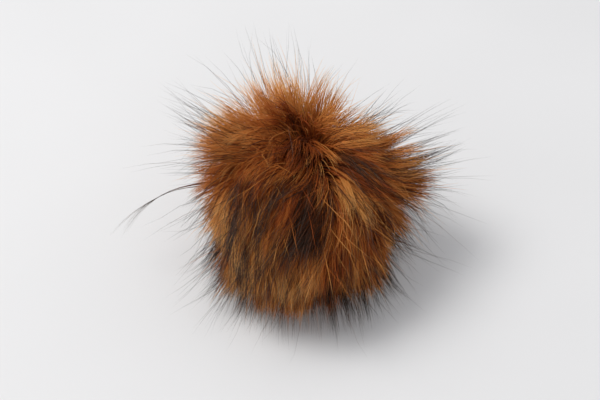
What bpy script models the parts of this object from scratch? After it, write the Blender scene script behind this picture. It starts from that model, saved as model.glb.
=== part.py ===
"""Long-pile faux-fur pom pom, lying where it was put down. Metres, +Z up, front towards -Y.

One solid: a ball of dense under-pile with a small flat spot, and the locks that grow out of it. Every lock has
three sides and follows one field of comb directions, so locks lean together and never cross.
"""

import math
from collections import namedtuple

import bmesh
import bpy
import numpy as np
from mathutils import Vector

NAME = "pompom"

# Ball of under-pile
BALL_RADIUS = 0.033
BALL_HEIGHT = 0.0345  # its centre above the surface
BALL_SUBDIVISIONS = 3  # 320 faces, one for each lock and the bare foot
FLAT_ABOVE = 0.0045  # points of the ball lower than this are pressed onto the surface
UNEVEN = 0.0007  # how far its other points lie aside of an even net
BARE_BELOW = -0.872  # faces more steeply below the ball's centre than this carry no lock

# Locks
LOCK_LENGTH = 0.0295
LENGTH_SPREAD = 0.15  # how far single locks differ in length, as a share
ROOT_GAP = 0.0008  # bare strip round each root
SECTIONS = ((0.28, 0.90), (0.58, 0.62), (0.84, 0.28))  # place along a lock, width as a share of its root
WIDEST = 1.3  # a lock's widest section, in widths of its root, where the pile parts
FOOT_SHARE = 0.62  # length under the ball, as a share of that on its sides
FOOT_CURVE = 1.5  # how late the locks get shorter towards the foot
RESTING_BELOW = -0.775  # locks with roots more steeply below it than this lie on the surface
RESTING = (0.4, 1.0, 1.0)  # how far each of their sections comes down to it
RESTING_WIDTH = 0.75  # and how wide they are there, as a share of the locks above
RESTING_TIP = 0.0004

# Comb
LEAN_AT_ROOT = 0.30  # how far the pile leans over by its own weight, next to the ball
LEAN_AT_TIP = 2.1  # and at the outside
PILE_DEPTH = 0.024  # over which that lean grows
BACKWARD_LEAN = 0.10  # lean of the pile on the top, away from the parting
PARTING_LEAN = 0.45  # sideways lean on both sides of the parting down the front
PARTING_WIDTH = 0.3  # over which it turns from one side to the other
FLOOR_BLEND = 0.030  # height below which falling locks turn level, little by little
STEP = 0.0010  # length of one step along the comb field
TUFT_ROOTS = 1.2  # how much wider a tuft is at its roots
PULL_AT_ROOT = 0.4  # share of a tuft's pull next to the ball
LONGEST = 2.6  # the longest lock, in ordinary lengths
SEED = 7

# Locks drawn together: compass angle from +X, angle above level, where they point, how wide, how strongly,
# the share of the lean that they stand against, and how much longer they are
Tuft = namedtuple("Tuft", "azimuth height reach width pull stands longer")
TUFTS = {
    "top_of_back": Tuft(98, 48, 0.200, 46, 0.3, 0.60, 0.26),
    "crown": Tuft(99, 48, 0.104, 14, 2.4, 0.50, 0.22),
    "crown_right": Tuft(73, 46, 0.096, 10, 1.4, 0.30, 0.08),
    "back_right": Tuft(46, 38, 0.096, 12, 1.6, 0.50, 0.16),
    "shoulder_right": Tuft(28, 32, 0.100, 11, 1.0, 0.60, 0.16),
    "right": Tuft(10, 20, 0.112, 19, 2.4, 0.95, 0.42),
    "upper_left": Tuft(149, 32, 0.100, 17, 2.2, 0.65, 0.30),
    "left": Tuft(172, 14, 0.094, 13, 1.0, 0.40, 0.08),
    "front_foot": Tuft(265, -34, 0.074, 14, 1.2, 0.0, 0.04),
    "left_foot": Tuft(214, -20, 0.090, 17, 1.0, 0.30, 0.16),
    "right_foot": Tuft(322, -22, 0.086, 15, 1.0, 0.20, 0.04),
    "back_foot": Tuft(110, -16, 0.086, 17, 1.0, 0.20, 0.12),
}

# Stray bunches of guard hair that run on past the locks: the way they point, and how far from the ball's centre
Whisker = namedtuple("Whisker", "azimuth height reach")
WHISKERS = (
    Whisker(117, 42, 0.094),
    Whisker(97, 46, 0.092),
    Whisker(86, 52, 0.093),
    Whisker(64, 60, 0.086),
    Whisker(45, 36, 0.098),
    Whisker(19, 22, 0.088),
    Whisker(11, 14, 0.092),
    Whisker(2, 7, 0.087),
    Whisker(353, 0, 0.082),
    Whisker(336, -7, 0.076),
    Whisker(318, -15, 0.079),
    Whisker(292, -22, 0.079),
    Whisker(268, -24, 0.082),
    Whisker(243, -23, 0.083),
    Whisker(226, -19, 0.082),
    Whisker(214, -12, 0.086),
    Whisker(203, -5, 0.078),
    Whisker(194, 2, 0.076),
    Whisker(172, 14, 0.082),
    Whisker(164, 19, 0.090),
    Whisker(152, 28, 0.094),
    Whisker(136, 12, 0.084),
    Whisker(118, 0, 0.084),
    Whisker(96, 12, 0.088),
    Whisker(74, -4, 0.084),
    Whisker(56, 10, 0.086),
    Whisker(34, -10, 0.080),
    Whisker(150, -14, 0.080),
)
WHISKER_ASIDE = 1.5  # a whisker continues the lock whose tip reaches far and lies little aside of its way
WHISKER_WIDTHS = (0.0008, 0.0005)  # where it leaves its lock and half way along, from middle to corner
WHISKER_CLEAR = 0.0012  # the least height of its end

# The long bunch that hangs out on the left and bends down, past its lock's tip
BENT_BUNCH = (
    (-0.0640, 0.0030, 0.0500),
    (-0.0770, 0.0005, 0.0450),
    (-0.0890, -0.0010, 0.0340),
    (-0.0985, -0.0015, 0.0190),
)
BENT_WIDTHS = (0.0010, 0.0009, 0.0008)

CENTRE = np.array((0.0, 0.0, BALL_HEIGHT))


def pointing(azimuth, height):
    """The unit vector at a compass angle and an angle above level, in degrees."""
    a, h = math.radians(azimuth), math.radians(height)
    return np.array((math.cos(h) * math.cos(a), math.cos(h) * math.sin(a), math.sin(h)))


def unit(vectors):
    return vectors / np.linalg.norm(vectors, axis=-1, keepdims=True)


def nearness(directions, azimuth, height, width):
    """1 on the axis of a tuft, falling to nothing over its width."""
    angle = np.degrees(np.arccos(np.clip(directions @ pointing(azimuth, height), -1.0, 1.0)))
    return np.exp(-((angle / width) ** 2))


def comb(points):
    """The way the pile runs at each point."""
    away = points - CENTRE
    radius = np.linalg.norm(away, axis=1, keepdims=True)
    out = away / radius
    downhill = np.array((0.0, 0.0, -1.0)) + out * np.maximum(out[:, 2:3], 0.0)
    depth = np.clip((radius - BALL_RADIUS) / PILE_DEPTH, 0.0, 1.0)
    lean = LEAN_AT_ROOT + (LEAN_AT_TIP - LEAN_AT_ROOT) * depth
    near = {name: nearness(out, t.azimuth, t.height, t.width)[:, None] for name, t in TUFTS.items()}
    for name, tuft in TUFTS.items():
        lean = lean * (1.0 - tuft.stands * near[name])
    flow = out + lean * downhill
    front = np.clip(-out[:, 1], 0.0, 1.0) * np.tanh(out[:, 0] / PARTING_WIDTH)
    flow[:, 0] += PARTING_LEAN * front
    flow[:, 1] += BACKWARD_LEAN * np.clip(out[:, 2], 0.0, 1.0) ** 2
    for name, tuft in TUFTS.items():
        target = CENTRE + pointing(tuft.azimuth, tuft.height) * tuft.reach
        grip = PULL_AT_ROOT + (1.0 - PULL_AT_ROOT) * depth
        flow += tuft.pull * near[name] * grip * unit(target - points)
    above = np.clip(points[:, 2] / FLOOR_BLEND, 0.0, 1.0)
    falling = flow[:, 2] < 0.0
    flow[falling, 2] *= above[falling]
    return unit(flow)


def runs(starts, length):
    """The curves from the start points through the comb field: array of steps, points, coordinates."""
    line = [starts]
    for _ in range(int(math.ceil(length / STEP))):
        here = line[-1]
        middle = here + 0.5 * STEP * comb(here)
        line.append(here + STEP * comb(middle))
    return np.array(line)


def along(line, distance):
    """The points of a run at a distance from its start."""
    place = min(distance / STEP, len(line) - 1.001)
    whole = int(place)
    return line[whole] * (1.0 - (place - whole)) + line[whole + 1] * (place - whole)


def pressed_ball(bm, random):
    """The ball of under-pile, a little uneven, with its lowest points on the surface."""
    bmesh.ops.create_icosphere(bm, subdivisions=BALL_SUBDIVISIONS, radius=BALL_RADIUS)
    for vert in bm.verts:
        if vert.co.z + BALL_HEIGHT < FLAT_ABOVE:
            vert.co.z = -BALL_HEIGHT
        else:
            aside = Vector(random.uniform(-UNEVEN, UNEVEN, 3))
            vert.co = (vert.co + aside).normalized() * BALL_RADIUS
    bmesh.ops.translate(bm, verts=bm.verts, vec=Vector(CENTRE))


def lock_length(direction, random):
    """How long the lock is that grows in this direction."""
    share = 1.0 - (1.0 - FOOT_SHARE) * max(-direction[2], 0.0) ** FOOT_CURVE
    for tuft in TUFTS.values():
        share += tuft.longer * float(nearness(direction, tuft.azimuth, tuft.height, tuft.width * TUFT_ROOTS))
    return LOCK_LENGTH * share * (1.0 + LENGTH_SPREAD * random.uniform(-1.0, 1.0))


def spread_of(corners):
    """Mean distance of a section's corners from its middle."""
    return float(np.linalg.norm(corners - corners.mean(axis=0), axis=1).mean())


def sections_of(line, length):
    """The three-cornered sections of a lock, each as its corners, and its tip."""
    root = spread_of(line[0])
    made = []
    for place, width in SECTIONS:
        corners = along(line, length * place)
        middle = corners.mean(axis=0)
        slim = min(1.0, WIDEST * root / spread_of(corners))
        made.append(middle + width * slim * (corners - middle))
    return made, along(line, length).mean(axis=0)


def rest_level(sections, tip):
    """Lays the outer sections of a lock flat on the surface."""
    for section, share in zip(sections, RESTING):
        middle = section.mean(axis=0)
        section[:] = middle + RESTING_WIDTH * (section - middle)
        lowest = np.argsort(section[:, 2])
        section[:, 2] -= share * section[lowest[0], 2]
        if share == 1.0:
            section[lowest[:2], 2] = 0.0
    tip[2] = RESTING_TIP


def grow(face, corners, sections, tip, bm):
    """Extrudes a root face through its sections and closes it in a point."""
    held = corners
    for section in sections:
        grown = bmesh.ops.extrude_discrete_faces(bm, faces=[face])["faces"][0]
        places = [int(np.argmin(np.linalg.norm(held - np.array(v.co), axis=1))) for v in grown.verts]
        for vert, place in zip(grown.verts, places):
            vert.co = Vector(section[place])
        face, held = grown, section
    point = bmesh.ops.poke(bm, faces=[face])["verts"][0]
    point.co = Vector(tip)


def run_on(sections, widths, points):
    """Adds the sections of a thin bunch that runs on from a lock's last section through some points."""
    last = sections[-1]
    middle = last.mean(axis=0)
    spread = last - middle
    spread = spread / np.linalg.norm(spread, axis=1).mean()
    for width, point in zip(widths, points):
        sections.append(point + spread * width)


def plan_locks(starts, ways, random):
    """Sections and tip of the lock on each root, and which locks rest on the surface."""
    lines = runs(np.concatenate(starts), LOCK_LENGTH * LONGEST)
    plans = []
    resting = set()
    for index, way in enumerate(ways):
        sections, tip = sections_of(lines[:, 3 * index : 3 * index + 3], lock_length(way, random))
        if way[2] < RESTING_BELOW:
            rest_level(sections, tip)
            resting.add(index)
        plans.append([sections, tip])
    return plans, resting


def add_whiskers(plans, taken):
    """Lets the lock that suits each whisker best run on to the whisker's end."""
    tips = np.array([tip for _, tip in plans]) - CENTRE
    for whisker in WHISKERS:
        way = pointing(whisker.azimuth, whisker.height)
        reach = tips @ way
        aside = np.linalg.norm(tips - reach[:, None] * way, axis=1)
        chosen = next(int(i) for i in np.argsort(WHISKER_ASIDE * aside - reach) if i not in taken)
        taken.add(chosen)
        sections, tip = plans[chosen]
        end = CENTRE + way * whisker.reach
        end[2] = max(end[2], WHISKER_CLEAR)
        run_on(sections, WHISKER_WIDTHS, (tip, 0.5 * (tip + end)))
        plans[chosen][1] = end


def add_bent_bunch(plans, taken):
    """Lets the nearest lock run on into the long bunch that bends down."""
    tips = np.array([tip for _, tip in plans])
    gaps = np.linalg.norm(tips - np.array(BENT_BUNCH[0]), axis=1)
    chosen = next(int(i) for i in np.argsort(gaps) if i not in taken)
    run_on(plans[chosen][0], BENT_WIDTHS, np.array(BENT_BUNCH[:-1]))
    plans[chosen][1] = np.array(BENT_BUNCH[-1])


def build():
    """The pom pom's mesh."""
    bm = bmesh.new()
    random = np.random.default_rng(SEED)
    pressed_ball(bm, random)
    corners = {f: np.array([tuple(v.co) for v in f.verts]) for f in bm.faces}
    ways = {f: unit(c.mean(axis=0) - CENTRE) for f, c in corners.items()}
    roots = [f for f in bm.faces if ways[f][2] > BARE_BELOW]
    starts = [corners[f] for f in roots]
    plans, taken = plan_locks(starts, [ways[f] for f in roots], random)
    add_whiskers(plans, taken)
    add_bent_bunch(plans, taken)
    bmesh.ops.inset_individual(bm, faces=roots, thickness=ROOT_GAP, depth=0.0, use_even_offset=True)
    for face, start, (sections, tip) in zip(roots, starts, plans):
        grow(face, start, sections, tip, bm)
    bmesh.ops.triangulate(bm, faces=bm.faces)
    bmesh.ops.recalc_face_normals(bm, faces=bm.faces)
    mesh = bpy.data.meshes.new(NAME)
    bm.to_mesh(mesh)
    bm.free()
    print(len(roots), "locks", len(mesh.polygons), "triangles")
    return mesh


def fur():
    """Ginger-brown fur, matt."""
    material = bpy.data.materials.new("fur")
    material.use_nodes = True
    shader = material.node_tree.nodes["Principled BSDF"]
    shader.inputs["Base Color"].default_value = (0.20, 0.068, 0.020, 1.0)
    shader.inputs["Roughness"].default_value = 0.85
    shader.inputs["Metallic"].default_value = 0.0
    return material


for old in list(bpy.data.objects):
    bpy.data.objects.remove(old, do_unlink=True)
mesh = build()
mesh.materials.append(fur())
thing = bpy.data.objects.new(NAME, mesh)
collection = bpy.data.collections.new(NAME)
bpy.context.scene.collection.children.link(collection)
collection.objects.link(thing)
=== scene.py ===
"""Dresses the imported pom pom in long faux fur. Metres, +Z up, front towards -Y.

The hairs follow a comb field like the one that the locks of the part's source follow. This one is finer: its whorl
lies farther back, strokes steer it on the front, and the pile lies flatter and is longer there.
"""

import math
from collections import namedtuple

import bmesh
import bpy
import numpy as np
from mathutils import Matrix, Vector, kdtree, noise


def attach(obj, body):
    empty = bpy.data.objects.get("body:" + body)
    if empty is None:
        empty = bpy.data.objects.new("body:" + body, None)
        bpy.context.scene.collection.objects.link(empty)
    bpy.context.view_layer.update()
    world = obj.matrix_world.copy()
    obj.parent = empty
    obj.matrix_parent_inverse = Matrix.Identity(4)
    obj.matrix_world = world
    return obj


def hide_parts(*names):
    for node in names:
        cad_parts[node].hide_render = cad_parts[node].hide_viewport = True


bl_info = {
    "name": "Pom pom fur",
    "version": (1, 0, 0),
    "blender": (4, 5, 0),
    "location": "3D View > Sidebar > Pom pom",
    "description": "Grows the pile, the guard hair and the stage of a faux-fur pom pom",
    "category": "Object",
}

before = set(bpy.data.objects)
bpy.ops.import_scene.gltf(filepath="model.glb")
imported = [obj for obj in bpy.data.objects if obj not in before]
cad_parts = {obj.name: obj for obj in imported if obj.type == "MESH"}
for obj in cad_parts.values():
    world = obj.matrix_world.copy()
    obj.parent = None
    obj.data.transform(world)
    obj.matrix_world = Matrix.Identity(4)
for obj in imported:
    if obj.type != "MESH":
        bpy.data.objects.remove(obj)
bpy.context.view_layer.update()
BODY, NODE, SLOT = "root", "pompom", "fur"
HAIR_MAP = "OFBake"  # across it runs a hair's tone, up it the way from root to tip
SEED = 20

# The ball and its comb, close to those in the part's source
BALL_RADIUS = 0.033
BALL_HEIGHT = 0.0345
CENTRE = np.array((0.0, 0.0, BALL_HEIGHT))
FOOT_SHARE = 0.62
FOOT_CURVE = 1.5
LEAN_AT_ROOT = 0.30
LEAN_AT_TIP = 2.1
PILE_DEPTH = 0.024
FLOOR_BLEND = 0.030
TUFT_ROOTS = 1.2
PULL_AT_ROOT = 0.4

# The whorl that the pile falls away from
WHORL = (94, 42)
WHORL_REACH = 2.5  # how soon the pile lies over, away from it

# Strokes of the comb on the front: compass angle and angle above level of the place, how wide, and of the way it runs
Stroke = namedtuple("Stroke", "azimuth height width toward rising")
STROKES = (
    Stroke(205, 17, 15, 304, 0),
    Stroke(211, 40, 14, 293, -12),
    Stroke(227, 10, 15, 312, -42),
    Stroke(191, 59, 13, 272, -3),
    Stroke(230, 52, 14, 262, -36),
    Stroke(244, 29, 15, 248, -61),
    Stroke(251, 60, 13, 235, -29),
    Stroke(260, 38, 14, 216, -43),
    Stroke(259, 12, 15, 222, -75),
    Stroke(275, 58, 10, 234, -25),
    Stroke(275, 39, 12, 215, -31),
    Stroke(277, 16, 13, 206, -48),
    Stroke(307, 67, 9, 289, -22),
    Stroke(316, 56, 10, 293, -32),
    Stroke(304, 45, 10, 279, -42),
    Stroke(293, 30, 12, 236, -44),
    Stroke(296, 6, 14, 226, -71),
    Stroke(327, 41, 13, 297, -45),
    Stroke(315, 23, 14, 272, -60),
    Stroke(318, -7, 14, 165, -80),
    Stroke(353, 56, 12, 311, -27),
    Stroke(34, 67, 12, 290, 6),
    Stroke(18, 56, 12, 315, -17),
    Stroke(1, 82, 9, 287, -2),
    Stroke(195, 79, 11, 243, -7),
    Stroke(273, 77, 9, 259, -12),
    Stroke(142, 59, 13, 208, -13),
    Stroke(157, 48, 13, 175, -40),
    Stroke(114, 68, 11, 216, 5),
    Stroke(184, 26, 15, 285, -48),
    Stroke(178, 44, 12, 262, -26),
    Stroke(54, 46, 12, 345, -8),
    Stroke(28, 38, 12, 350, -14),
)

# The front, where the pile lies flatter and is longer: compass angle, angle above level and how wide
FRONT = (264, 46, 60)
FRONT_LEAN = 2.0  # how much more it lies over
FRONT_LENGTH = 0.58  # how much longer it is, as a share
FRONT_RISE = 0.0080  # how far it stands up from the ball first
FRONT_BEND = 0.0090  # over which it then bends over

# Hairs drawn together: compass angle from +X, angle above level, where they point, how wide, how strongly,
# the share of the lean that they stand against, and how much longer they are
Tuft = namedtuple("Tuft", "azimuth height reach width pull stands longer")
TUFTS = {
    "top_of_back": Tuft(98, 34, 0.200, 44, 0.3, 0.50, 0.30),
    "crown": Tuft(107, 47, 0.107, 17, 3.5, 0.85, 0.74),
    "crown_right": Tuft(74, 46, 0.096, 11, 1.0, 0.26, -0.20),
    "back_right": Tuft(46, 38, 0.096, 12, 0.9, 0.36, 0.16),
    "shoulder_right": Tuft(28, 32, 0.100, 11, 0.6, 0.40, 0.18),
    "right": Tuft(9, 22, 0.116, 16, 3.4, 0.90, 0.62),
    "upper_left": Tuft(152, 35, 0.104, 19, 1.9, 0.60, 0.32),
    "left": Tuft(176, 14, 0.094, 13, 0.4, 0.20, -0.14),
    "front_low": Tuft(268, -14, 0.080, 55, 0.0, 0.0, -0.16),
    "right_low": Tuft(350, 0, 0.080, 19, 0.0, 0.0, -0.46),
    "right_corner": Tuft(318, 2, 0.092, 12, 0.8, 0.10, 0.20),
    "front_foot": Tuft(262, -30, 0.078, 13, 1.4, 0.0, 0.08),
    "front_gap": Tuft(289, -16, 0.078, 10, 0.0, 0.0, -0.34),
    "left_foot": Tuft(214, -20, 0.090, 17, 1.0, 0.30, 0.16),
    "right_foot": Tuft(322, -22, 0.086, 15, 1.0, 0.20, 0.04),
    "back_foot": Tuft(110, -16, 0.086, 17, 1.0, 0.20, 0.12),
}

# The long bunch that hangs out on the left and bends down, from its root
BENT_BUNCH = (
    (-0.0290, 0.0040, 0.0480),
    (-0.0470, 0.0040, 0.0520),
    (-0.0640, 0.0030, 0.0500),
    (-0.0770, 0.0005, 0.0450),
    (-0.0910, -0.0025, 0.0330),
    (-0.1060, -0.0075, 0.0120),
)

# Places where the pile is lighter or darker, partly its own tone and partly painted light and shade: compass angle,
# angle above level, how wide, and by how much
Patch = namedtuple("Patch", "azimuth height width tone")
TONE_LIGHT_AND_SHADE = (
    # Painted light: the backlit crown is made lighter
    Patch(107, 49, 20, 0.82),
    Patch(73, 46, 10, 0.16),
    Patch(112, 74, 14, -0.38),
    Patch(140, 82, 13, -0.20),
    Patch(292, 85, 9, -0.22),
    # Painted shade, with the dark hair there: a deep gap between locks on the front
    Patch(271, 48, 9, -0.70),
    Patch(240, 46, 15, -0.06),
    Patch(222, 50, 13, -0.04),
    # Painted shade, with the dark hair there: another deep gap between locks on the front
    Patch(273, 31, 8, -0.95),
    Patch(297, 66, 8, 0.26),
    Patch(302, 59, 9, 1.15),
    Patch(320, 58, 8, 0.26),
    Patch(306, 46, 11, 1.10),
    Patch(314, 36, 7, 0.20),
    Patch(312, 24, 12, -0.26),
    Patch(224, 29, 7, -0.10),
    Patch(217, 46, 7, -0.12),
    Patch(219, 10, 7, 0.42),
    Patch(350, 60, 8, -0.42),
    Patch(21, 28, 12, 0.34),
    Patch(46, 38, 12, 0.34),
    Patch(28, 56, 11, 0.34),
    Patch(152, 32, 15, 0.24),
    # Painted light: these three make the lower front and left lighter, where the lamp above and behind leaves them dim
    Patch(261, 1, 10, 0.42),
    Patch(232, 0, 14, 0.50),
    Patch(205, 17, 14, 0.95),
    Patch(300, 6, 9, 0.20),
    Patch(280, -3, 7, -1.30),
    Patch(286, 14, 7, -0.50),
    Patch(250, -5, 7, -0.30),
    # Painted shade beneath the right tuft
    Patch(337, 47, 8, -0.30),
)

# Where dark guard hair lies thick on the pile: compass angle, angle above level, how wide, and how many more there
STREAKS = (
    Patch(271, 48, 9, 3.4),
    Patch(273, 31, 8, 4.4),
    Patch(222, 28, 6, 3.4),
    Patch(225, 14, 6, 2.6),
    Patch(217, 41, 6, 2.0),
    Patch(217, 49, 9, 1.2),
    Patch(348, 58, 9, 1.4),
    Patch(2, 14, 12, 0.9),
    Patch(28, 30, 13, -0.3),
    Patch(212, -10, 18, 1.0),
    Patch(258, -4, 12, -0.35),
    Patch(281, -6, 7, 3.0),
    Patch(322, -20, 18, 0.9),
    Patch(103, 54, 26, -0.50),
    Patch(304, 53, 9, -0.45),
    Patch(265, -50, 36, -0.42),
)

# Where guard hair stands out of the pile most: compass angle, angle above level, how wide, and how much more there
FRINGE = (
    Patch(132, 44, 20, 0.5),
    Patch(100, 46, 22, -0.2),
    Patch(172, 18, 18, 0.3),
    Patch(354, 4, 14, 3.0),
    Patch(26, 26, 14, -0.5),
    Patch(206, -10, 16, 2.6),
    Patch(322, -18, 16, 1.0),
    Patch(268, -20, 18, 0.5),
    Patch(70, 20, 30, 0.4),
    Patch(48, 40, 20, -0.3),
)

# Where the pile is thicker: compass angle, angle above level, how wide, and by how much
THICKER = (
    Patch(106, 46, 25, 0.62),
    Patch(148, 38, 24, 0.36),
    Patch(10, 24, 16, 0.16),
)

ROOT_DEPTH = 0.0312  # distance of the hairs' roots from the ball's centre
LYING_BUNCHES = 900  # bunches that the lying guard hair gathers in
STANDING_BUNCHES = 420  # and those of the standing guard hair
PILE_LOWEST = -0.9  # pile grows down to this upward share of the way out of the ball
LYING_LOWEST = -0.85  # lying guard hair down to this one
STANDING_LOWEST = -0.62  # and standing guard hair down to this one
CROWN_ABOVE = 0.63  # roots above this upward share are in the crown's piece
FOOT_BELOW = -0.45  # and those below this one in the foot's
TOP_EASE = 0.016  # height over which guard hair bends away from its greatest height
FRONT_EDGE = 0.070  # distance in front past which guard hair bends away
FRONT_EASE = 0.014  # and over which it does
STEPS = 20  # steps in which a hair grows through the comb field
RINGS = 5  # sections of a hair, with a pointed tip after the last
SHARES = np.array((1.0, 1.0, 0.92, 0.74, 0.42))  # their widths


def pointing(azimuth, height):
    """The unit vector at a compass angle and an angle above level, in degrees."""
    a, h = math.radians(azimuth), math.radians(height)
    return np.array((math.cos(h) * math.cos(a), math.cos(h) * math.sin(a), math.sin(h)))


def unit(vectors):
    return vectors / np.linalg.norm(vectors, axis=-1, keepdims=True)


def nearness(directions, azimuth, height, width):
    """1 on the axis of a tuft, falling to nothing over its width."""
    angle = np.degrees(np.arccos(np.clip(directions @ pointing(azimuth, height), -1.0, 1.0)))
    return np.exp(-((angle / width) ** 2))


def patched(directions, patches):
    """The sum of what the patches add in each direction."""
    return sum(p.tone * nearness(directions, p.azimuth, p.height, p.width) for p in patches)


def fallen(out):
    """Which way the pile lies over in each direction from the ball: away from the whorl, or along the strokes."""
    whorl = pointing(*WHORL)
    up = (out @ whorl)[:, None]
    over = out * np.maximum(up, 0.0) - whorl
    most = np.maximum(np.linalg.norm(over, axis=1, keepdims=True), 1e-9)
    total = np.full((len(out), 1), 1e-9)
    way = np.zeros_like(out)
    for stroke in STROKES:
        near = nearness(out, stroke.azimuth, stroke.height, stroke.width)[:, None]
        way += near * pointing(stroke.toward, stroke.rising)
        total += near
    way = way - out * np.sum(way * out, axis=1, keepdims=True)
    way = way / np.maximum(np.linalg.norm(way, axis=1, keepdims=True), 1e-9)
    stroked = total / (total + 0.25)
    return unit((over / most) * (1.0 - stroked) + way * stroked) * np.minimum(WHORL_REACH * most, 1.0)


def comb(points):
    """The way the pile runs at each point."""
    away = points - CENTRE
    radius = np.linalg.norm(away, axis=1, keepdims=True)
    out = away / radius
    depth = np.clip((radius - BALL_RADIUS) / PILE_DEPTH, 0.0, 1.0)
    front = nearness(out, *FRONT)[:, None]
    bend = np.clip((radius - BALL_RADIUS - FRONT_RISE) / FRONT_BEND, 0.0, 1.0)
    depth = depth + front * (bend - depth)
    lean = LEAN_AT_ROOT + (LEAN_AT_TIP * (1.0 + FRONT_LEAN * front) - LEAN_AT_ROOT) * depth
    near = {name: nearness(out, t.azimuth, t.height, t.width)[:, None] for name, t in TUFTS.items()}
    for name, tuft in TUFTS.items():
        lean = lean * (1.0 - tuft.stands * near[name])
    flow = out + lean * fallen(out)
    for name, tuft in TUFTS.items():
        target = CENTRE + pointing(tuft.azimuth, tuft.height) * tuft.reach
        grip = PULL_AT_ROOT + (1.0 - PULL_AT_ROOT) * depth
        flow += tuft.pull * near[name] * grip * unit(target - points)
    above = np.clip(points[:, 2] / FLOOR_BLEND, 0.0, 1.0)
    falling = flow[:, 2] < 0.0
    flow[falling, 2] *= above[falling]
    return unit(flow)


def tousled(points, turns, lifts, asides):
    """The comb field as single hairs meet it, turned about the way out of the ball, lifted towards it and tilted."""
    flow = comb(points)
    out = unit(points - CENTRE)
    c, s = np.cos(turns)[:, None], np.sin(turns)[:, None]
    along = np.sum(out * flow, axis=1, keepdims=True)
    turned = flow * c + np.cross(out, flow) * s + out * along * (1.0 - c)
    return unit(turned + lifts[:, None] * out + asides)


def grown(starts, lengths, turns, lifts, asides):
    """Points along hairs that grow through the comb field: hair, place, coordinate."""
    here = starts
    step = (lengths / STEPS)[:, None]
    kept = [here]
    for count in range(1, STEPS + 1):
        middle = here + 0.5 * step * tousled(here, turns, lifts, asides)
        here = here + step * tousled(middle, turns, lifts, asides)
        if count % (STEPS // RINGS) == 0:
            kept.append(here)
    return np.stack(kept, axis=1)


def scattered(count, lowest, random, uneven=0.8):
    """Directions spread over the ball down to a lowest upward share, close to even."""
    turn = math.pi * (3.0 - math.sqrt(5.0))
    number = np.arange(count) + 0.5
    up = 1.0 - (1.0 - lowest) * number / count
    across = np.sqrt(np.maximum(1.0 - up * up, 0.0))
    ways = np.stack((across * np.cos(turn * number), across * np.sin(turn * number), up), axis=1)
    gap = math.sqrt(2.0 * math.pi * (1.0 - lowest) / count)
    return unit(ways + random.normal(0.0, 0.5 * uneven * gap, ways.shape))


def nearest(directions, centres):
    """The index of the centre nearest to each direction."""
    tree = kdtree.KDTree(len(centres))
    for index, centre in enumerate(centres):
        tree.insert(Vector(centre), index)
    tree.balance()
    return np.array([tree.find(Vector(way))[1] for way in directions])


def pile_length(ways, length):
    """How long the pile is in each direction."""
    share = 1.0 - (1.0 - FOOT_SHARE) * np.maximum(-ways[:, 2], 0.0) ** FOOT_CURVE
    for tuft in TUFTS.values():
        share = share + tuft.longer * nearness(ways, tuft.azimuth, tuft.height, tuft.width * TUFT_ROOTS)
    return length * (share + FRONT_LENGTH * nearness(ways, *FRONT))


def middles(paths, groups, count):
    """The mean path of each group of hairs."""
    size = np.maximum(np.bincount(groups, minlength=count), 1)[:, None]
    flat = paths.reshape(len(paths), -1)
    total = np.stack([np.bincount(groups, weights=column, minlength=count) for column in flat.T], axis=1)
    return (total / size).reshape(count, *paths.shape[1:])


def gathered(paths, groups, count, strength, late):
    """Draws the hairs of each group towards its middle, more and more towards the tips."""
    centre = middles(paths, groups, count)[groups]
    share = np.linspace(0.0, 1.0, paths.shape[1]) ** late
    return paths + (strength[:, None] * share)[:, :, None] * (centre - paths)


def ruffled(paths, amount, random):
    """Lets single hairs stray from their way, in a bow and a small wave of their own."""
    count, places = paths.shape[:2]
    along = np.linspace(0.0, 1.0, places)
    bow = random.normal(0.0, 1.0, (count, 1, 3)) * (along**1.6)[None, :, None]
    phase = random.uniform(0.0, 2.0 * math.pi, (count, 1, 3))
    waves = random.uniform(1.0, 2.2, (count, 1, 1)) * 2.0 * math.pi * along[None, :, None]
    wave = np.sin(waves + phase) * along[None, :, None]
    return paths + amount[:, None, None] * (bow + 0.35 * wave)


def above_floor(paths, clearance):
    paths[:, :, 2] = np.maximum(paths[:, :, 2], clearance)
    return paths


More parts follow.
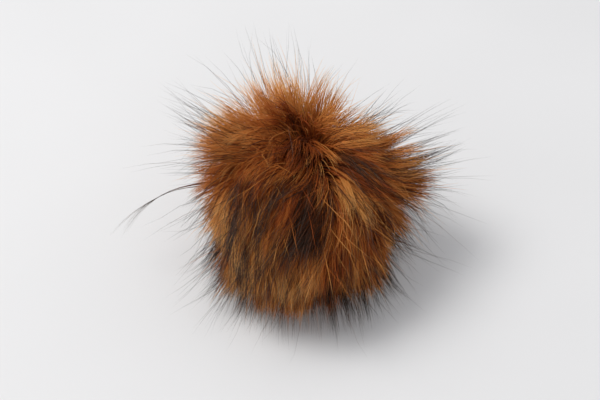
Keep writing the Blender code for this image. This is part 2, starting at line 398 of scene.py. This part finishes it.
def hair_mesh(name, paths, radii, shares, tones):
    """One joined mesh of closed three-sided hairs, each tapering to a point."""
    count, places = paths.shape[:2]
    rings = places - 1
    ways = unit(np.gradient(paths, axis=1))
    mean = unit(paths[:, -1] - paths[:, 0])
    aside = np.where(np.abs(mean[:, 2:3]) < 0.8, (0.0, 0.0, 1.0), (1.0, 0.0, 0.0))
    first = unit(np.cross(ways, aside[:, None, :]))
    second = np.cross(ways, first)
    angle = 2.0 * math.pi * np.arange(3) / 3.0
    round_it = (
        np.cos(angle)[None, None, :, None] * first[:, :rings, None, :]
        + np.sin(angle)[None, None, :, None] * second[:, :rings, None, :]
    )
    thick = radii[:, None, None, None] * shares[None, :, None, None]
    corners = paths[:, :rings, None, :] + thick * round_it
    points = np.concatenate((corners.reshape(count, -1, 3), paths[:, -1:, :]), axis=1)
    per_hair = 3 * rings + 1

    faces = [(2, 1, 0)]
    for ring in range(rings - 1):
        low, high = 3 * ring, 3 * ring + 3
        faces += [(low + k, low + (k + 1) % 3, high + (k + 1) % 3, high + k) for k in range(3)]
    last = 3 * (rings - 1)
    faces += [(last + k, last + (k + 1) % 3, 3 * rings) for k in range(3)]
    pattern = np.array([corner for face in faces for corner in face])
    starts = np.cumsum([0] + [len(face) for face in faces])
    offset = per_hair * np.arange(count)
    loops = (offset[:, None] + pattern).ravel()
    face_starts = (starts[-1] * np.arange(count)[:, None] + starts[:-1]).ravel()

    mesh = bpy.data.meshes.new(name)
    mesh.vertices.add(count * per_hair)
    mesh.vertices.foreach_set("co", points.astype(np.float32).ravel())
    mesh.loops.add(len(loops))
    mesh.loops.foreach_set("vertex_index", loops.astype(np.int32))
    mesh.polygons.add(len(face_starts))
    mesh.polygons.foreach_set("loop_start", face_starts.astype(np.int32))
    mesh.polygons.foreach_set("use_smooth", np.ones(len(face_starts), bool))

    up = np.append(np.repeat(np.arange(rings) / rings, 3), 1.0)
    up[1] = 0.01
    across = np.append(np.tile((-0.004, 0.0, 0.004), rings), 0.0)
    spots = np.empty((count, per_hair, 2))
    spots[:, :, 0] = 0.02 + 0.96 * np.clip(tones, 0.0, 1.0)[:, None] + across
    spots[:, :, 1] = 0.02 + 0.96 * up
    layer = mesh.uv_layers.new(name=HAIR_MAP)
    layer.uv.foreach_set("vector", spots.reshape(-1, 2)[loops].astype(np.float32).ravel())
    mesh.update(calc_edges=True)
    mesh.validate()
    return mesh


def placed(name, mesh, finish):
    """Puts a piece that stands for the CAD node in the scene, riding on its body."""
    mesh.materials.append(finish)
    piece = bpy.data.objects.new(name, mesh)
    bpy.context.scene.collection.objects.link(piece)
    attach(piece, BODY)
    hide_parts(NODE)
    return piece


class Nodes:
    """A material's node tree, built node by node."""

    def __init__(self, name):
        self.material = bpy.data.materials.new(name)
        self.material.use_nodes = True
        self.tree = self.material.node_tree
        self.shader = self.tree.nodes["Principled BSDF"]

    def add(self, kind, **values):
        node = self.tree.nodes.new(kind)
        for key, value in values.items():
            setattr(node, key, value)
        return node

    def link(self, source, target):
        self.tree.links.new(source, target)

    def ramp(self, source, stops):
        node = self.add("ShaderNodeValToRGB")
        ramp = node.color_ramp
        while len(ramp.elements) < len(stops):
            ramp.elements.new(0.5)
        for element, (place, colour) in zip(ramp.elements, stops):
            element.position = place
            element.color = (*colour[:3], 1.0)
        self.link(source, node.inputs["Fac"])
        return node.outputs["Color"]

    def mix(self, share, first, second):
        node = self.add("ShaderNodeMix", data_type="RGBA")
        self.link(share, node.inputs["Factor"])
        self.link(first, node.inputs["A"])
        self.link(second, node.inputs["B"])
        return next(out for out in node.outputs if out.type == "RGBA")

    def spread(self, source, low, high, least, most):
        node = self.add("ShaderNodeMapRange")
        for key, value in zip(("From Min", "From Max", "To Min", "To Max"), (low, high, least, most)):
            node.inputs[key].default_value = value
        self.link(source, node.inputs["Value"])
        return node.outputs["Result"]

    def bump(self, source, strength, distance):
        node = self.add("ShaderNodeBump")
        node.inputs["Strength"].default_value = strength
        node.inputs["Distance"].default_value = distance
        self.link(source, node.inputs["Height"])
        self.link(node.outputs["Normal"], self.shader.inputs["Normal"])


def hair_finish(name, tones, roughness):
    """Fur whose colour runs from root to tip, in some tones that each hair lies between, from dark to light."""
    nodes = Nodes(name)
    place = nodes.add("ShaderNodeUVMap", uv_map=HAIR_MAP)
    parts = nodes.add("ShaderNodeSeparateXYZ")
    nodes.link(place.outputs["UV"], parts.inputs["Vector"])
    tone, along = parts.outputs["X"], parts.outputs["Y"]
    (before, darkest), *lighter = tones
    colour = nodes.ramp(along, darkest)
    for after, ramp in lighter:
        colour = nodes.mix(nodes.spread(tone, before, after, 0.0, 1.0), colour, nodes.ramp(along, ramp))
        before = after
    nodes.link(colour, nodes.shader.inputs["Base Color"])
    scaled = nodes.add("ShaderNodeVectorMath", operation="MULTIPLY")
    scaled.inputs[1].default_value = (160.0, 24.0, 1.0)
    nodes.link(place.outputs["UV"], scaled.inputs[0])
    grain = nodes.add("ShaderNodeTexNoise")
    grain.inputs["Scale"].default_value = 1.0
    nodes.link(scaled.outputs["Vector"], grain.inputs["Vector"])
    rough = nodes.spread(grain.outputs["Fac"], 0.3, 0.7, roughness - 0.08, roughness + 0.12)
    nodes.link(rough, nodes.shader.inputs["Roughness"])
    nodes.shader.inputs["Specular IOR Level"].default_value = 0.20
    nodes.bump(grain.outputs["Fac"], 0.15, 0.0001)
    return nodes.material


def colour(name, description, default):
    return bpy.props.FloatVectorProperty(
        name=name, description=description, default=default, size=3, min=0.0, max=1.0, subtype="COLOR"
    )


def distance(name, description, default):
    return bpy.props.FloatProperty(
        name=name, description=description, default=default, min=0.0, precision=5, subtype="DISTANCE", unit="LENGTH"
    )


def share(name, description, default):
    return bpy.props.FloatProperty(name=name, description=description, default=default, min=0.0, subtype="FACTOR")


def number(name, description, default):
    return bpy.props.IntProperty(name=name, description=description, default=default, min=1)


class UnderPileSettings(bpy.types.PropertyGroup):
    """The short dense pile next to the cloth."""

    radius: distance("Radius", "Mean radius of the under-pile", 0.0345)
    lumps: distance("Lumps", "How far it rises and falls", 0.0016)
    clear: distance("Clearance", "Height of its pressed foot above the surface", 0.0004)
    # The dark colour is partly painted shade: it stands for the shade deep between the locks
    dark: colour("Dark", "Colour between the locks", (0.080, 0.0190, 0.0060))
    warm: colour("Warm", "Colour of its lighter parts", (0.240, 0.0560, 0.0140))


class PileSettings(bpy.types.PropertyGroup):
    """The long pile."""

    hairs: number("Hairs", "How many hairs the pile would have if it were thickest everywhere", 40500)
    locks: number("Locks", "How many locks they gather in", 210)
    wisps: number("Wisps", "How many small wisps the locks are made of", 2800)
    length: distance("Length", "Ordinary length of the pile", 0.0300)
    depth: distance("Depth", "Distance of the roots from the ball's centre", ROOT_DEPTH)
    width: distance("Width", "Width of a hair near its root", 0.00030)
    gather: share("Gathering", "How far the hairs of a wisp come together at the tip", 0.55)
    bunch: share("Bunching", "How far the wisps of a lock come together at the tip", 0.40)
    stray: distance("Stray", "How far the tips stray", 0.0012)
    astray: share("Astray", "Share of light hairs that lie across the others", 0.04)
    root: colour("Root", "Colour of the hairs at the root", (0.120, 0.0250, 0.0070))
    umber: colour("Umber", "Dark reddish colour of their lower part", (0.200, 0.0400, 0.0080))
    rust: colour("Rust", "Reddish colour of the darker hairs", (0.420, 0.0860, 0.0140))
    ginger: colour("Ginger", "Colour of most hairs past the middle", (0.560, 0.1640, 0.0290))
    amber: colour("Amber", "Colour of their tips", (0.680, 0.2500, 0.0520))
    gold: colour("Gold", "Colour of the light hairs", (0.820, 0.3700, 0.0950))
    pale: colour("Pale", "Colour of the lightest tips", (0.920, 0.5700, 0.2400))
    # The shade colour is partly painted shade: the deep gaps between locks take it, along with the dark hair there
    shade: colour("Shade", "Colour of the dark locks", (0.052, 0.0175, 0.0070))


class GuardHairSettings(bpy.types.PropertyGroup):
    """The longer, dark-tipped guard hair."""

    lying: number("Lying", "How many guard hairs lie with the pile", 3300)
    standing: number("Standing", "How many stand out of it", 520)
    width: distance("Width", "Width of a guard hair near its root", 0.00024)
    reach: distance("Reach", "Farthest that a tip lies from the ball's centre", 0.0970)
    tallest: distance("Tallest", "Greatest height of a tip above the surface", 0.1190)
    stray: distance("Stray", "How far the tips stray", 0.0016)
    base: colour("Base colour", "Colour of the lower part", (0.180, 0.0520, 0.0140))
    tip: colour("Tip colour", "Colour of the dark tips", (0.0230, 0.0125, 0.0080))
    # The grey band of the guard hair is painted sheen: grey glints of light on the dark tips
    grey_band: colour("Grey band colour", "Colour of the greyest tips", (0.1700, 0.1200, 0.0920))


class BentBunchSettings(bpy.types.PropertyGroup):
    """The long bunch of guard hair that bends down on the left."""

    hairs: number("Hairs", "How many hairs the bunch has", 10)
    width: distance("Width", "Width of one hair", 0.00020)
    spread: distance("Spread", "How far apart the hairs lie", 0.0009)
    fray: distance("Fray", "How far the ends come apart", 0.0022)
    lower: colour("Lower part", "Colour of the part near the pile", (0.180, 0.0520, 0.0140))
    grey_band: colour("Grey band colour", "Colour past the middle", (0.1100, 0.0850, 0.0700))
    pale: colour("Pale end", "Colour of the palest ends", (0.4200, 0.3700, 0.3400))


class StageSettings(bpy.types.PropertyGroup):
    """Floor, light and camera."""

    floor_size: distance("Floor size", "Side of the floor", 6.0)
    floor_colour: colour("Floor colour", "Colour of the floor", (0.82, 0.82, 0.83))
    lamp_power: bpy.props.FloatProperty(
        name="Lamp power", description="Power of the large soft lamp", default=54.0, min=0.0, unit="POWER"
    )
    lamp_size: distance("Lamp size", "Side of the lamp", 1.3)
    lamp_distance: distance("Lamp distance", "How far the lamp is from the pom pom", 3.0)
    lamp_azimuth: bpy.props.FloatProperty(
        name="Lamp azimuth", description="Compass angle of the lamp", default=math.radians(170), subtype="ANGLE"
    )
    lamp_height: bpy.props.FloatProperty(
        name="Lamp height", description="Angle of the lamp above level", default=math.radians(57), subtype="ANGLE"
    )
    sky: bpy.props.FloatProperty(name="Sky", description="Strength of the light from all round", default=0.57, min=0.0)
    camera_height: bpy.props.FloatProperty(
        name="Camera height", description="Angle of the camera above level", default=math.radians(50), subtype="ANGLE"
    )
    camera_distance: distance("Camera distance", "How far the camera is from where it looks", 0.494)
    camera_aim: bpy.props.FloatVectorProperty(
        name="Camera aim",
        description="Where the camera looks",
        default=(-0.0031, 0.0, 0.0435),
        size=3,
        subtype="TRANSLATION",
        unit="LENGTH",
    )
    lens: bpy.props.FloatProperty(name="Lens", description="Focal length in millimetres", default=57.04, min=1.0)


class POMPOM_OT_under_pile(bpy.types.Operator):
    """Make the short dense under-pile that the hairs grow from"""

    bl_idname = "pompom.under_pile"
    bl_label = "Under-pile"

    def execute(self, context):
        values = context.scene.pompom_under_pile
        bm = bmesh.new()
        bmesh.ops.create_icosphere(bm, subdivisions=6, radius=1.0)
        for vert in bm.verts:
            way = vert.co.normalized()
            coarse = noise.noise(way * 3.1) + 0.5 * noise.noise(way * 9.0 + Vector((3.0, 1.0, 2.0)))
            fine = 0.22 * noise.noise(way * 34.0)
            vert.co = Vector(CENTRE) + way * (values.radius + values.lumps * (coarse + fine))
            vert.co.z = max(vert.co.z, values.clear)
        mesh = bpy.data.meshes.new("under_pile")
        bm.to_mesh(mesh)
        bm.free()
        mesh.polygons.foreach_set("use_smooth", np.ones(len(mesh.polygons), bool))
        piece = placed("under_pile", mesh, under_pile_finish(values))
        return {"FINISHED"}


def under_pile_finish(values):
    """Short matted fur, dark and warm in a cloud; its dark is partly painted shade, for where it shows between the
    locks.
    """
    nodes = Nodes("short under-pile")
    place = nodes.add("ShaderNodeTexCoord")
    cloud = nodes.add("ShaderNodeTexNoise")
    cloud.inputs["Scale"].default_value = 90.0
    cloud.inputs["Detail"].default_value = 5.0
    nodes.link(place.outputs["Object"], cloud.inputs["Vector"])
    nap = nodes.add("ShaderNodeTexNoise")
    nap.inputs["Scale"].default_value = 1400.0
    nap.inputs["Detail"].default_value = 3.0
    nodes.link(place.outputs["Object"], nap.inputs["Vector"])
    nodes.link(
        nodes.ramp(cloud.outputs["Fac"], ((0.30, values.dark), (0.72, values.warm))),
        nodes.shader.inputs["Base Color"],
    )
    nodes.link(nodes.spread(nap.outputs["Fac"], 0.3, 0.7, 0.75, 0.95), nodes.shader.inputs["Roughness"])
    nodes.bump(nap.outputs["Fac"], 0.6, 0.0006)
    return nodes.material


def pile_paths(values, random):
    """Paths, tones and root directions of the pile's hairs."""
    lock_ways = scattered(values.locks, PILE_LOWEST, random, 1.1)
    wisp_ways = scattered(values.wisps, PILE_LOWEST, random, 1.0)
    ways = scattered(values.hairs, PILE_LOWEST, random)
    thick = (0.68 + patched(ways, THICKER)) * np.clip(1.5 + ways[:, 2], 0.6, 1.0)
    ways = ways[random.uniform(0.0, 1.0, len(ways)) < thick]
    lock_of_wisp = nearest(wisp_ways, lock_ways)
    wisp = nearest(ways, wisp_ways)
    lock = lock_of_wisp[wisp]

    fluffy = np.clip(
        nearness(ways, 102, 50, 26) + 0.7 * nearness(ways, 149, 40, 16) + 0.5 * nearness(ways, 46, 42, 14), 0.0, 1.0
    )
    turns = random.normal(0.0, math.radians(16), values.locks)[lock]
    turns = turns + random.normal(0.0, math.radians(7), values.wisps)[wisp]
    asides = random.normal(0.0, 0.15, (values.locks, 3))[lock] + random.normal(0.0, 0.12, (values.wisps, 3))[wisp]
    front = nearness(ways, *FRONT)
    wild = 1.0 + 0.9 * nearness(ways, *WHORL, 24) + 0.7 * nearness(ways, 96, 22, 34) - 0.6 * front
    asides = asides * wild[:, None]
    loose = nearness(ways, 278, 80, 15)
    turns = turns * (1.0 - 0.45 * front) + loose * random.normal(0.0, math.radians(15), values.wisps)[wisp]
    lifts = random.uniform(-0.05, 0.42, values.locks)[lock] + random.normal(0.0, 0.10, values.wisps)[wisp]
    lengths = pile_length(ways, values.length)
    lengths = lengths * random.uniform(0.84, 1.08, values.locks)[lock]
    lengths = lengths * random.uniform(0.86, 1.06, values.wisps)[wisp]
    lengths = lengths * (1.0 - 0.34 * random.uniform(0.0, 1.0, len(ways)) ** 2.2)
    astray = random.uniform(0.0, 1.0, len(ways)) < values.astray
    turns = turns + astray * random.normal(0.0, math.radians(30), len(ways))
    lifts = np.maximum(lifts, -0.1) + astray * random.uniform(0.1, 0.7, len(ways))
    lengths = lengths * (1.0 + 0.18 * astray)
    paths = grown(CENTRE + ways * values.depth, lengths, turns, lifts, asides)

    whole = middles(paths, wisp, values.wisps)
    held = (1.0 - 0.75 * fluffy) * (1.0 - 0.9 * astray)
    paths = gathered(paths, wisp, values.wisps, values.gather * held * random.uniform(0.7, 1.1, len(ways)), 1.25)
    centre = middles(whole[wisp], lock, values.locks)[lock]
    late = np.linspace(0.0, 1.0, paths.shape[1]) ** 1.9
    paths = paths + (values.bunch * held[:, None] * late)[:, :, None] * (centre - whole[wisp])
    paths = ruffled(paths, values.stray * random.uniform(0.3, 1.1, len(ways)), random)

    out = unit(paths[:, 4] - CENTRE)
    # The tones carry the pile's own lighter and darker hairs and the painted light and shade of the patches
    tones = 0.52 + patched(out, TONE_LIGHT_AND_SHADE)
    tones = tones + random.normal(0.0, 0.13, values.locks)[lock] + random.normal(0.0, 0.09, values.wisps)[wisp]
    tones = tones + random.normal(0.0, 0.08, len(ways)) + 0.24 * astray
    return above_floor(paths, 0.0004), tones, ways


def sectors(ways):
    """The pieces that the pile is made in, each with the hairs that grow there."""
    top = ways[:, 2] > CROWN_ABOVE
    foot = ways[:, 2] < FOOT_BELOW
    rest = ~(top | foot)
    angle = np.degrees(np.arctan2(ways[:, 1], ways[:, 0])) % 360.0
    return {
        "pile_crown": top,
        "pile_right": rest & ((angle < 45.0) | (angle >= 315.0)),
        "pile_back": rest & (angle >= 45.0) & (angle < 135.0),
        "pile_left": rest & (angle >= 135.0) & (angle < 225.0),
        "pile_front": rest & (angle >= 225.0) & (angle < 315.0),
        "pile_foot": foot,
    }


class POMPOM_OT_pile(bpy.types.Operator):
    """Grow the long pile in locks and wisps along the comb"""

    bl_idname = "pompom.pile"
    bl_label = "Long pile"

    def execute(self, context):
        values = context.scene.pompom_pile
        random = np.random.default_rng(SEED)
        paths, tones, ways = pile_paths(values, random)
        radii = values.width / math.sqrt(3.0) * random.uniform(0.8, 1.15, len(ways))
        radii = radii * (1.0 + 0.30 * nearness(ways, 106, 46, 24))
        finish = hair_finish(
            "long pile",
            (
                (0.02, ((0.0, values.root), (0.35, values.umber), (0.75, values.shade), (1.0, values.shade))),
                (0.28, ((0.0, values.root), (0.35, values.umber), (0.70, values.rust), (1.0, values.rust))),
                (0.52, ((0.0, values.root), (0.35, values.rust), (0.70, values.ginger), (1.0, values.amber))),
                (0.98, ((0.0, values.umber), (0.30, values.ginger), (0.75, values.gold), (1.0, values.pale))),
            ),
            0.5,
        )
        for name, chosen in sectors(ways).items():
            mesh = hair_mesh(name, paths[chosen], radii[chosen], SHARES, tones[chosen])
            placed(name, mesh, finish)
        return {"FINISHED"}


class POMPOM_OT_guard_hair(bpy.types.Operator):
    """Grow the dark-tipped guard hair, lying in streaks on the pile and standing out of it"""

    bl_idname = "pompom.guard_hair"
    bl_label = "Guard hair"

    def execute(self, context):
        values = context.scene.pompom_guard_hair
        random = np.random.default_rng(SEED + 1)
        length = context.scene.pompom_pile.length
        tried = scattered(values.lying * 6, LYING_LOWEST, random, 1.5)
        still = np.zeros(len(tried))
        trial = 1.15 * pile_length(tried, length)
        lain = grown(CENTRE + tried * ROOT_DEPTH, trial, still, still + 0.2, np.zeros((1, 3)))
        thick = 0.5 + patched(unit(lain[:, 3] - CENTRE), STREAKS)
        order = np.argsort(random.uniform(0.0, 1.0, len(tried)) / np.maximum(thick, 0.02))
        ways = tried[order[: values.lying]]
        lengths = pile_length(ways, length) * random.uniform(0.98, 1.36, len(ways))
        bunches = scattered(LYING_BUNCHES, LYING_LOWEST, random, 1.2)
        bunch = nearest(ways, bunches)
        turns = random.normal(0.0, math.radians(11), LYING_BUNCHES)[bunch]
        turns = turns + random.normal(0.0, math.radians(5), len(ways))
        lifts = random.uniform(0.02, 0.5, LYING_BUNCHES)[bunch] + random.uniform(0.0, 0.12, len(ways))
        asides = random.normal(0.0, 0.16, (LYING_BUNCHES, 3))[bunch]
        lying = grown(CENTRE + ways * ROOT_DEPTH, lengths, turns, lifts, asides)
        lying = gathered(lying, bunch, LYING_BUNCHES, random.uniform(0.35, 0.85, len(ways)), 1.3)
        lying = ruffled(lying, values.stray * random.uniform(0.3, 1.0, len(ways)), random)

        out = scattered(values.standing * 3, STANDING_LOWEST, random, 1.6)
        longer = pile_length(out, length) * (1.2 + 0.75 * random.uniform(0.0, 1.0, len(out)) ** 2.0)
        tufts = scattered(STANDING_BUNCHES, STANDING_LOWEST, random, 1.2)
        tuft = nearest(out, tufts)
        crowd = random.uniform(0.0, 1.0, STANDING_BUNCHES) ** 3.0 * (0.25 + patched(tufts, FRINGE))
        chance = random.uniform(0.0, 1.0, len(out)) ** (1.0 / (0.04 + crowd[tuft]))
        kept = np.sort(np.argsort(chance)[-values.standing :])
        out, tuft, longer = out[kept], tuft[kept], longer[kept]
        aside = random.normal(0.0, math.radians(16), STANDING_BUNCHES)[tuft]
        aside = aside + random.normal(0.0, math.radians(10), len(out))
        raised = random.uniform(0.7, 2.6, STANDING_BUNCHES)[tuft]
        tilted = random.normal(0.0, 0.45, (STANDING_BUNCHES, 3))[tuft]
        standing = grown(CENTRE + out * ROOT_DEPTH, longer, aside, raised, tilted)
        standing = gathered(standing, tuft, STANDING_BUNCHES, random.uniform(0.1, 0.6, len(out)), 1.2)
        standing = ruffled(standing, values.stray * random.uniform(0.6, 2.0, len(out)), random)

        paths = np.concatenate((lying, standing))
        away = paths - CENTRE
        reach = np.linalg.norm(away[:, -1], axis=1)
        rise = np.maximum(away[:, -1, 2] / reach, 0.01)
        shrink = np.minimum(1.0, np.minimum(values.reach, (values.tallest - BALL_HEIGHT) / rise) / reach)
        grow = BALL_RADIUS + (np.linalg.norm(away, axis=2) - BALL_RADIUS) * shrink[:, None]
        paths = CENTRE + unit(away) * grow[:, :, None]
        over = np.maximum(paths[:, :, 2] - values.tallest + TOP_EASE, 0.0)
        paths[:, :, 2] += TOP_EASE * np.tanh(over / TOP_EASE) - over
        over = np.maximum(-paths[:, :, 1] - FRONT_EDGE, 0.0)
        paths[:, :, 1] -= FRONT_EASE * np.tanh(over / FRONT_EASE) - over
        tones = random.uniform(0.0, 1.0, len(paths)) ** 1.4
        radii = values.width / math.sqrt(3.0) * random.uniform(0.7, 1.1, len(paths))
        radii[len(ways) :] *= 0.85
        mesh = hair_mesh("guard_hair", above_floor(paths, 0.0004), radii, SHARES, tones)
        placed("guard_hair", mesh, guard_hair_finish(values))
        return {"FINISHED"}


def guard_hair_finish(values):
    """Ginger at the root and nearly black past the middle, with a band of painted grey sheen before the tips of the
    lightest tones.
    """
    half = tuple(0.5 * (a + b) for a, b in zip(values.base, values.tip))
    return hair_finish(
        "guard hair",
        (
            (0.02, ((0.0, values.base), (0.34, half), (0.52, values.tip), (1.0, values.tip))),
            (0.50, ((0.0, values.base), (0.42, values.base), (0.64, values.tip), (1.0, values.tip))),
            # The grey band here is painted sheen on the dark tips
            (0.98, ((0.0, values.base), (0.50, values.base), (0.74, values.grey_band), (1.0, values.tip))),
        ),
        0.42,
    )


class POMPOM_OT_bent_bunch(bpy.types.Operator):
    """Make the long thin bunch of guard hair that bends down on the left"""

    bl_idname = "pompom.bent_bunch"
    bl_label = "Bent bunch"

    def execute(self, context):
        values = context.scene.pompom_bent_bunch
        random = np.random.default_rng(SEED + 2)
        line = smooth_line(np.array(BENT_BUNCH), 14)
        along = np.linspace(0.0, 1.0, len(line))
        apart = random.normal(0.0, 1.0, (values.hairs, 1, 3)) * values.spread * (0.5 + 0.5 * np.cos(4.2 * along))[
            None, :, None
        ]
        frayed = random.normal(0.0, 1.0, (values.hairs, 1, 3)) * values.fray * (np.clip(along - 0.62, 0, 1) / 0.38)[
            None, :, None
        ] ** 1.6
        cut = random.uniform(0.86, 1.0, values.hairs)
        places = cut[:, None] * along[None, :] * (len(line) - 1)
        low = np.minimum(places.astype(int), len(line) - 2)
        part = (places - low)[:, :, None]
        paths = line[low] * (1.0 - part) + line[low + 1] * part + apart + frayed
        shares = np.append(np.linspace(1.0, 0.85, 9), np.linspace(0.8, 0.35, 4))
        radii = np.full(values.hairs, values.width / math.sqrt(3.0))
        tones = random.uniform(0.0, 1.0, values.hairs)
        mesh = hair_mesh("bent_bunch", above_floor(paths, 0.0006), radii, shares, tones)
        finish = hair_finish(
            "bent bunch",
            (
                (0.02, ((0.0, values.lower), (0.30, values.lower), (0.60, values.grey_band), (1.0, values.grey_band))),
                (0.98, ((0.0, values.lower), (0.30, values.lower), (0.62, values.grey_band), (0.95, values.pale))),
            ),
            0.42,
        )
        placed("bent_bunch", mesh, finish)
        return {"FINISHED"}


def smooth_line(points, count):
    """Points spread along a smooth curve through the given ones."""
    ends = np.concatenate((2 * points[:1] - points[1:2], points, 2 * points[-1:] - points[-2:-1]))
    made = []
    for place in np.linspace(0.0, len(points) - 1.001, count):
        whole = int(place)
        t = place - whole
        a, b, c, d = ends[whole : whole + 4]
        made.append(0.5 * (2 * b + (c - a) * t + (2 * a - 5 * b + 4 * c - d) * t**2 + (3 * b - a - 3 * c + d) * t**3))
    return np.array(made)


class POMPOM_OT_stage(bpy.types.Operator):
    """Set up the floor, the soft light and the camera"""

    bl_idname = "pompom.stage"
    bl_label = "Stage"

    def execute(self, context):
        scene = context.scene
        values = scene.pompom_stage
        half = 0.5 * values.floor_size
        mesh = bpy.data.meshes.new("floor")
        mesh.from_pydata([(-half, -half, 0), (half, -half, 0), (half, half, 0), (-half, half, 0)], [], [(0, 1, 2, 3)])
        mesh.materials.append(floor_finish(values))
        floor = bpy.data.objects.new("floor", mesh)
        scene.collection.objects.link(floor)

        world = scene.world or bpy.data.worlds.new("soft room")
        scene.world = world
        world.use_nodes = True
        background = world.node_tree.nodes["Background"]
        background.inputs["Color"].default_value = (0.97, 0.98, 1.0, 1.0)
        background.inputs["Strength"].default_value = values.sky

        light = bpy.data.lights.new("window", "AREA")
        light.shape = "SQUARE"
        light.size = values.lamp_size
        light.energy = values.lamp_power
        light.color = (1.0, 0.985, 0.96)
        lamp = bpy.data.objects.new("window", light)
        way = Vector(pointing(math.degrees(values.lamp_azimuth), math.degrees(values.lamp_height)))
        lamp.location = Vector(CENTRE) + way * values.lamp_distance
        lamp.rotation_euler = way.to_track_quat("Z", "Y").to_euler()
        scene.collection.objects.link(lamp)

        lens = bpy.data.cameras.new("camera")
        lens.lens = values.lens
        lens.sensor_width = 36.0
        lens.clip_start = 0.01
        camera = bpy.data.objects.new("camera", lens)
        back = Vector((0.0, -math.cos(values.camera_height), math.sin(values.camera_height)))
        camera.location = Vector(values.camera_aim) + back * values.camera_distance
        camera.rotation_euler = (math.radians(90) - values.camera_height, 0.0, 0.0)
        scene.collection.objects.link(camera)
        scene.camera = camera
        scene.view_settings.view_transform = "Standard"
        scene.view_settings.look = "None"
        return {"FINISHED"}


def floor_finish(values):
    """Pale matt paint, very slightly uneven."""
    nodes = Nodes("pale floor")
    place = nodes.add("ShaderNodeTexCoord")
    cloud = nodes.add("ShaderNodeTexNoise")
    cloud.inputs["Scale"].default_value = 6.0
    nodes.link(place.outputs["Object"], cloud.inputs["Vector"])
    darker = tuple(0.97 * c for c in values.floor_colour)
    nodes.link(
        nodes.ramp(cloud.outputs["Fac"], ((0.3, darker), (0.7, values.floor_colour))),
        nodes.shader.inputs["Base Color"],
    )
    nodes.link(nodes.spread(cloud.outputs["Fac"], 0.3, 0.7, 0.7, 0.8), nodes.shader.inputs["Roughness"])
    nodes.bump(cloud.outputs["Fac"], 0.05, 0.001)
    return nodes.material


class POMPOM_PT_parts(bpy.types.Panel):
    """The pom pom's pieces and their settings"""

    bl_label = "Pom pom"
    bl_space_type = "VIEW_3D"
    bl_region_type = "UI"
    bl_category = "Pom pom"

    def draw(self, context):
        for operator, settings in STEPS_OF_MAKING:
            box = self.layout.box()
            box.operator(operator.bl_idname)
            values = getattr(context.scene, settings)
            for key in values.bl_rna.properties.keys():
                if key not in ("rna_type", "name"):
                    box.prop(values, key)


SETTINGS = {
    "pompom_under_pile": UnderPileSettings,
    "pompom_pile": PileSettings,
    "pompom_guard_hair": GuardHairSettings,
    "pompom_bent_bunch": BentBunchSettings,
    "pompom_stage": StageSettings,
}
STEPS_OF_MAKING = (
    (POMPOM_OT_under_pile, "pompom_under_pile"),
    (POMPOM_OT_pile, "pompom_pile"),
    (POMPOM_OT_guard_hair, "pompom_guard_hair"),
    (POMPOM_OT_bent_bunch, "pompom_bent_bunch"),
    (POMPOM_OT_stage, "pompom_stage"),
)


def register():
    for name, group in SETTINGS.items():
        bpy.utils.register_class(group)
        setattr(bpy.types.Scene, name, bpy.props.PointerProperty(type=group))
    for operator, _ in STEPS_OF_MAKING:
        bpy.utils.register_class(operator)
    bpy.utils.register_class(POMPOM_PT_parts)


def unregister():
    bpy.utils.unregister_class(POMPOM_PT_parts)
    for operator, _ in reversed(STEPS_OF_MAKING):
        bpy.utils.unregister_class(operator)
    for name, group in reversed(SETTINGS.items()):
        delattr(bpy.types.Scene, name)
        bpy.utils.unregister_class(group)


def main():
    register()
    bpy.ops.pompom.under_pile()
    bpy.ops.pompom.pile()
    bpy.ops.pompom.guard_hair()
    bpy.ops.pompom.bent_bunch()
    bpy.ops.pompom.stage()


if __name__ == "__main__":
    main()
